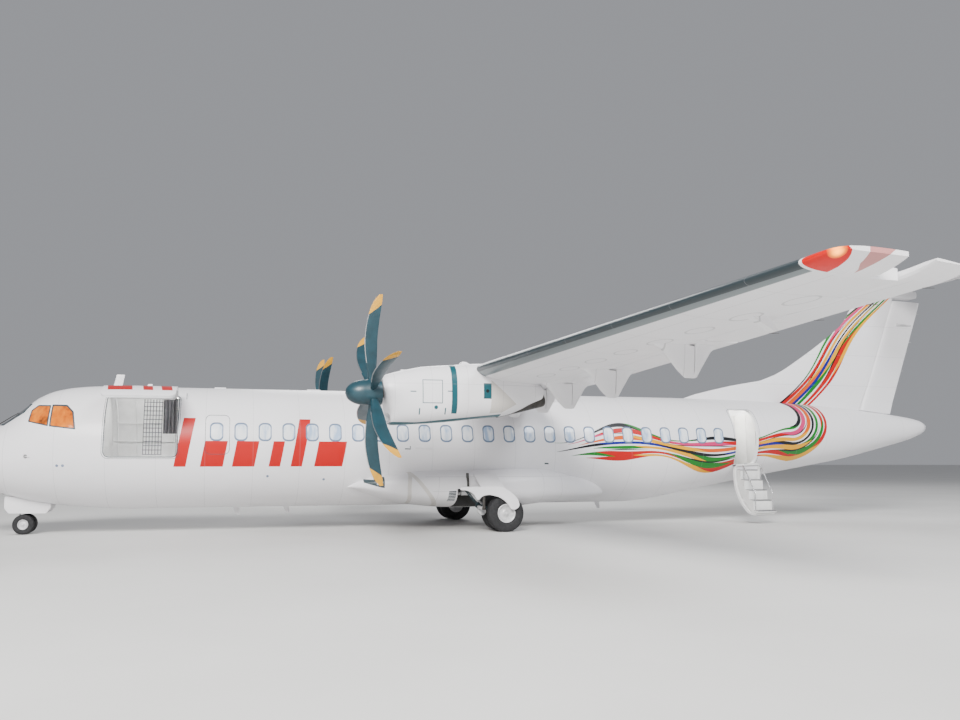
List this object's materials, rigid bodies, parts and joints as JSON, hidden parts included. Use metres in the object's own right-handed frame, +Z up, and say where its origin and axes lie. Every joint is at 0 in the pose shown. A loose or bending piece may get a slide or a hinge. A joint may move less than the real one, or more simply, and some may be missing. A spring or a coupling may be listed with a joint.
{
  "type": "turboprop airliner",
  "caption": "High-wing regional airliner with propellers on wing nacelles, a T-tail, wheels under belly fairings, an open cargo door and a lowered airstair.",
  "frame": {"origin": "on the ground, midway between nose tip and rearmost point of the tail, on the centre line", "axes": "+X aft along the fuselage, +Y to starboard, +Z up"},
  "size_m": [27.166, 27.05, 7.37],
  "materials": {
    "white_metal": "satin white paint",
    "white_composite": "satin white paint on composite",
    "glass": "dark tinted",
    "blade": "semi-gloss dark petrol blue",
    "gear_paint": "satin light grey",
    "wheel_paint": "satin light grey",
    "engine": "rough",
    "tyre": "matt",
    "lamp_red": "clear lacquer",
    "lamp_green": "clear lacquer"
  },
  "bodies": {
    "airframe": {"aft_fuselage": "white_metal", "belly_fairing": "white_composite", "center_fuselage": "white_metal", "cockpit_glazing": "glass", "crown_antenna": "white_composite", "crown_antenna_small": "white_composite", "engine_left": "engine", "engine_right": "engine", "fin": "white_composite", "forward_fuselage": "white_metal", "main_gear_door_left": "white_composite", "main_gear_door_right": "white_composite", "main_gear_leg_left": "gear_paint", "main_gear_leg_right": "gear_paint", "nacelle_left": "white_composite", "nacelle_right": "white_composite", "nav_lamp_left": "lamp_red", "nav_lamp_right": "lamp_green", "nose_gear_door_left": "white_composite", "nose_gear_door_right": "white_composite", "nose_gear_leg": "gear_paint", "nose_section": "white_metal", "tail_cone": "white_composite", "tailplane": "white_composite", "wing_body_fairing": "white_composite", "wing_center": "white_metal", "wing_outer_left": "white_metal", "wing_outer_right": "white_metal"},
    "cargo_door": {"cargo_door": "white_metal"},
    "passenger_door": {"passenger_door": "white_metal"},
    "propeller_left": {"propeller_left": "blade", "spinner_left": "blade"},
    "propeller_right": {"propeller_right": "blade", "spinner_right": "blade"},
    "nose_gear_fork": {"nose_gear_fork": "gear_paint"},
    "nose_wheels": {"nose_wheels": "wheel_paint", "nose_tyre_left": "tyre", "nose_tyre_right": "tyre"},
    "main_wheels_left": {"main_wheels_left": "wheel_paint", "main_tyre_left_outer": "tyre", "main_tyre_left_inner": "tyre"},
    "main_wheels_right": {"main_wheels_right": "wheel_paint", "main_tyre_right_outer": "tyre", "main_tyre_right_inner": "tyre"},
    "rudder": {"rudder": "white_composite"},
    "elevator_left": {"elevator_left": "white_composite"},
    "elevator_right": {"elevator_right": "white_composite"},
    "aileron_left": {"aileron_left": "white_composite"},
    "aileron_right": {"aileron_right": "white_composite"},
    "flap_inner_left": {"flap_inner_left": "white_composite"},
    "flap_inner_right": {"flap_inner_right": "white_composite"},
    "flap_outer_left": {"flap_outer_left": "white_composite"},
    "flap_outer_right": {"flap_outer_right": "white_composite"}
  },
  "joints": [
    {"name": "cargo_door_hinge", "type": "hinge", "parent": "airframe", "child": "cargo_door", "pos_m": [-9.258, -0.834, 3.138], "axis": [1, 0, 0], "range_deg": [0, 63]},
    {"name": "passenger_door_hinge", "type": "hinge", "parent": "airframe", "child": "passenger_door", "pos_m": [6.247, -1.1254, 1.546], "axis": [1, 0, 0], "range_deg": [-160, 0]},
    {"name": "propeller_left_spin", "type": "hinge", "parent": "airframe", "child": "propeller_left", "pos_m": [-4.573, -4.05, 3.041], "axis": [-0.9986, 0, -0.0523], "continuous": true},
    {"name": "propeller_right_spin", "type": "hinge", "parent": "airframe", "child": "propeller_right", "pos_m": [-4.573, 4.05, 3.041], "axis": [-0.9986, 0, -0.0523], "continuous": true},
    {"name": "nose_steering", "type": "hinge", "parent": "airframe", "child": "nose_gear_fork", "pos_m": [-11.833, 0, 0.5], "axis": [0, 0, 1], "range_deg": [-60, 60]},
    {"name": "nose_wheel_spin", "type": "hinge", "parent": "nose_gear_fork", "child": "nose_wheels", "pos_m": [-11.833, 0, 0.225], "axis": [0, 1, 0], "continuous": true},
    {"name": "main_wheels_left_spin", "type": "hinge", "parent": "airframe", "child": "main_wheels_left", "pos_m": [-1.063, -2.05, 0.432], "axis": [0, 1, 0], "continuous": true},
    {"name": "main_wheels_right_spin", "type": "hinge", "parent": "airframe", "child": "main_wheels_right", "pos_m": [-1.063, 2.05, 0.432], "axis": [0, 1, 0], "continuous": true},
    {"name": "rudder_hinge", "type": "hinge", "parent": "airframe", "child": "rudder", "pos_m": [11.152, 0, 3.13], "axis": [0.3733, 0, 0.9277], "range_deg": [-27, 27]},
    {"name": "elevator_left_hinge", "type": "hinge", "parent": "airframe", "child": "elevator_left", "pos_m": [12.9867, -0.175, 7.01], "axis": [-0.0486, 0.9988, 0], "range_deg": [-23, 13]},
    {"name": "elevator_right_hinge", "type": "hinge", "parent": "airframe", "child": "elevator_right", "pos_m": [12.9867, 0.175, 7.01], "axis": [0.0486, 0.9988, 0], "range_deg": [-23, 13]},
    {"name": "aileron_left_hinge", "type": "hinge", "parent": "airframe", "child": "aileron_left", "pos_m": [-0.5275, -9.6, 3.484], "axis": [-0.0002, 0.9997, -0.026], "range_deg": [-14, 14]},
    {"name": "aileron_right_hinge", "type": "hinge", "parent": "airframe", "child": "aileron_right", "pos_m": [-0.5275, 9.6, 3.484], "axis": [0.0002, 0.9997, 0.026], "range_deg": [-14, 14]},
    {"name": "flap_inner_left_hinge", "type": "hinge", "parent": "airframe", "child": "flap_inner_left", "pos_m": [-0.548, -1.5, 2.8], "axis": [0, 1, 0], "range_deg": [0, 35]},
    {"name": "flap_inner_right_hinge", "type": "hinge", "parent": "airframe", "child": "flap_inner_right", "pos_m": [-0.548, 1.5, 2.8], "axis": [0, 1, 0], "range_deg": [0, 35]},
    {"name": "flap_outer_left_hinge", "type": "hinge", "parent": "airframe", "child": "flap_outer_left", "pos_m": [-0.548, -4.66, 2.8], "axis": [0.0178, 0.9992, -0.037], "range_deg": [0, 35]},
    {"name": "flap_outer_right_hinge", "type": "hinge", "parent": "airframe", "child": "flap_outer_right", "pos_m": [-0.548, 4.66, 2.8], "axis": [-0.0178, 0.9992, 0.037], "range_deg": [0, 35]}
  ],
  "couplings": [
    {"joint": "elevator_right_hinge", "follows": "elevator_left_hinge", "ratio": 1},
    {"joint": "aileron_right_hinge", "follows": "aileron_left_hinge", "ratio": -1},
    {"joint": "flap_inner_right_hinge", "follows": "flap_inner_left_hinge", "ratio": 1},
    {"joint": "flap_outer_left_hinge", "follows": "flap_inner_left_hinge", "ratio": 1},
    {"joint": "flap_outer_right_hinge", "follows": "flap_inner_left_hinge", "ratio": 1}
  ]
}
